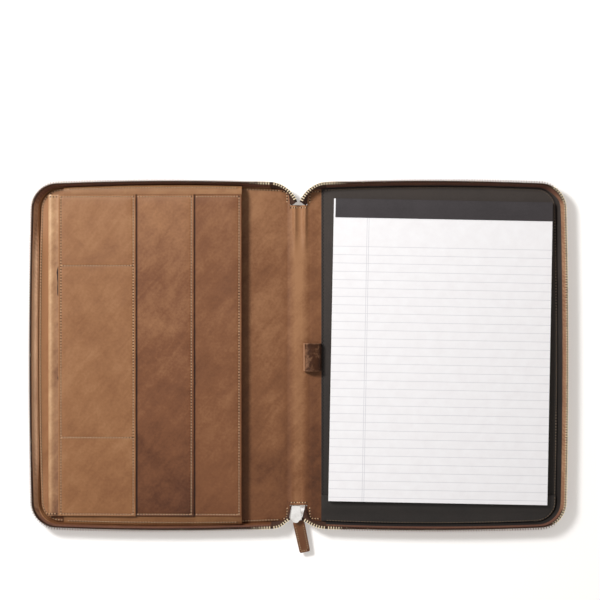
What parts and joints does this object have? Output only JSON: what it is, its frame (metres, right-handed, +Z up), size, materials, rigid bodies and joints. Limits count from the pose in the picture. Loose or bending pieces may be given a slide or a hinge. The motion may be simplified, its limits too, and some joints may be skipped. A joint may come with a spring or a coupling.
{
  "type": "zippered padfolio",
  "caption": "Zip-round leather padfolio lying open, with stepped pockets and an expanding gusset on the left, a pen loop at the spine and a ruled pad on the right.",
  "frame": {"origin": "under the middle of the spine, on the surface that the open folio lies on", "axes": "+X from the spine to the pad's fore-edge, +Y to the pad's head, +Z up from the surface"},
  "size_m": [0.5326, 0.3694, 0.0162],
  "materials": {
    "brown_leather": "smooth pull-up leather with a satin sheen",
    "dark_lining": "dark coated lining",
    "zip_tape": "woven tape",
    "zip_teeth": "pale antique brass",
    "slider_metal": "polished nickel",
    "stiffener_board": "grey board, hidden",
    "backing_board": "grey-brown board",
    "paper": "ruled white paper",
    "binding_tape": "dark binding tape"
  },
  "bodies": {
    "right_cover": {"right_cover_leather": "brown_leather", "right_board": "stiffener_board", "right_lining": "dark_lining", "right_hinge_leather": "brown_leather", "pad_pocket_band": "dark_lining", "right_zip_tape": "zip_tape", "right_zip_teeth": "zip_teeth", "pen_loop": "brown_leather", "right_zip_end_top": "zip_tape", "right_zip_end_bottom": "zip_tape", "right_zip_end_teeth_top": "zip_teeth", "right_zip_end_teeth_bottom": "zip_teeth"},
    "spine": {"spine_leather": "brown_leather", "spine_board": "stiffener_board", "spine_lining": "brown_leather"},
    "left_cover": {"left_cover_leather": "brown_leather", "left_board": "stiffener_board", "left_lining": "brown_leather", "left_zip_tape": "zip_tape", "left_zip_teeth": "zip_teeth", "pocket_side_fold": "brown_leather", "left_zip_end_top": "zip_tape", "left_zip_end_bottom": "zip_tape", "left_zip_end_teeth_top": "zip_teeth", "left_zip_end_teeth_bottom": "zip_teeth", "pocket_gusset_top": "brown_leather", "pocket_gusset_bottom": "brown_leather"},
    "pocket": {"main_pocket_panel": "brown_leather", "middle_pocket_panel": "brown_leather", "front_pocket_panel": "brown_leather"},
    "slider": {"slider_body": "slider_metal", "slider_bridge": "slider_metal"},
    "pull": {"pull_link": "slider_metal", "pull_tab": "brown_leather"},
    "pad": {"pad_backing": "backing_board", "pad_sheets": "paper", "pad_binding": "binding_tape"}
  },
  "joints": [
    {"name": "right_fold", "type": "hinge", "parent": "right_cover", "child": "spine", "pos_m": [0.011, 0, 0.004], "axis": [0, 1, 0], "range_deg": [0, 90], "deforming": ["right_zip_end_top", "right_zip_end_bottom", "right_zip_end_teeth_top", "right_zip_end_teeth_bottom"]},
    {"name": "left_fold", "type": "hinge", "parent": "spine", "child": "left_cover", "pos_m": [-0.011, 0, 0.004], "axis": [0, 1, 0], "range_deg": [0, 90], "deforming": ["left_zip_end_top", "left_zip_end_bottom", "left_zip_end_teeth_top", "left_zip_end_teeth_bottom"]},
    {"name": "pocket_fold", "type": "hinge", "parent": "left_cover", "child": "pocket", "pos_m": [-0.2415, 0, 0.0063], "axis": [0, 1, 0], "range_deg": [0, 2.4], "deforming": ["pocket_gusset_top", "pocket_gusset_bottom"]},
    {"name": "slider_run", "type": "slide", "parent": "spine", "child": "slider", "axis": [0, -1, 0], "range_m": [0, 0.008]},
    {"name": "pull_swing", "type": "hinge", "parent": "slider", "child": "pull", "pos_m": [-0.0025, -0.1574, 0.0085], "axis": [0.9781, 0.2079, 0], "range_deg": [0, 95]},
    {"name": "pad_slide", "type": "slide", "parent": "right_cover", "child": "pad", "axis": [0.0192, 0.9998, 0], "range_m": [0, 0.0055]}
  ]
}
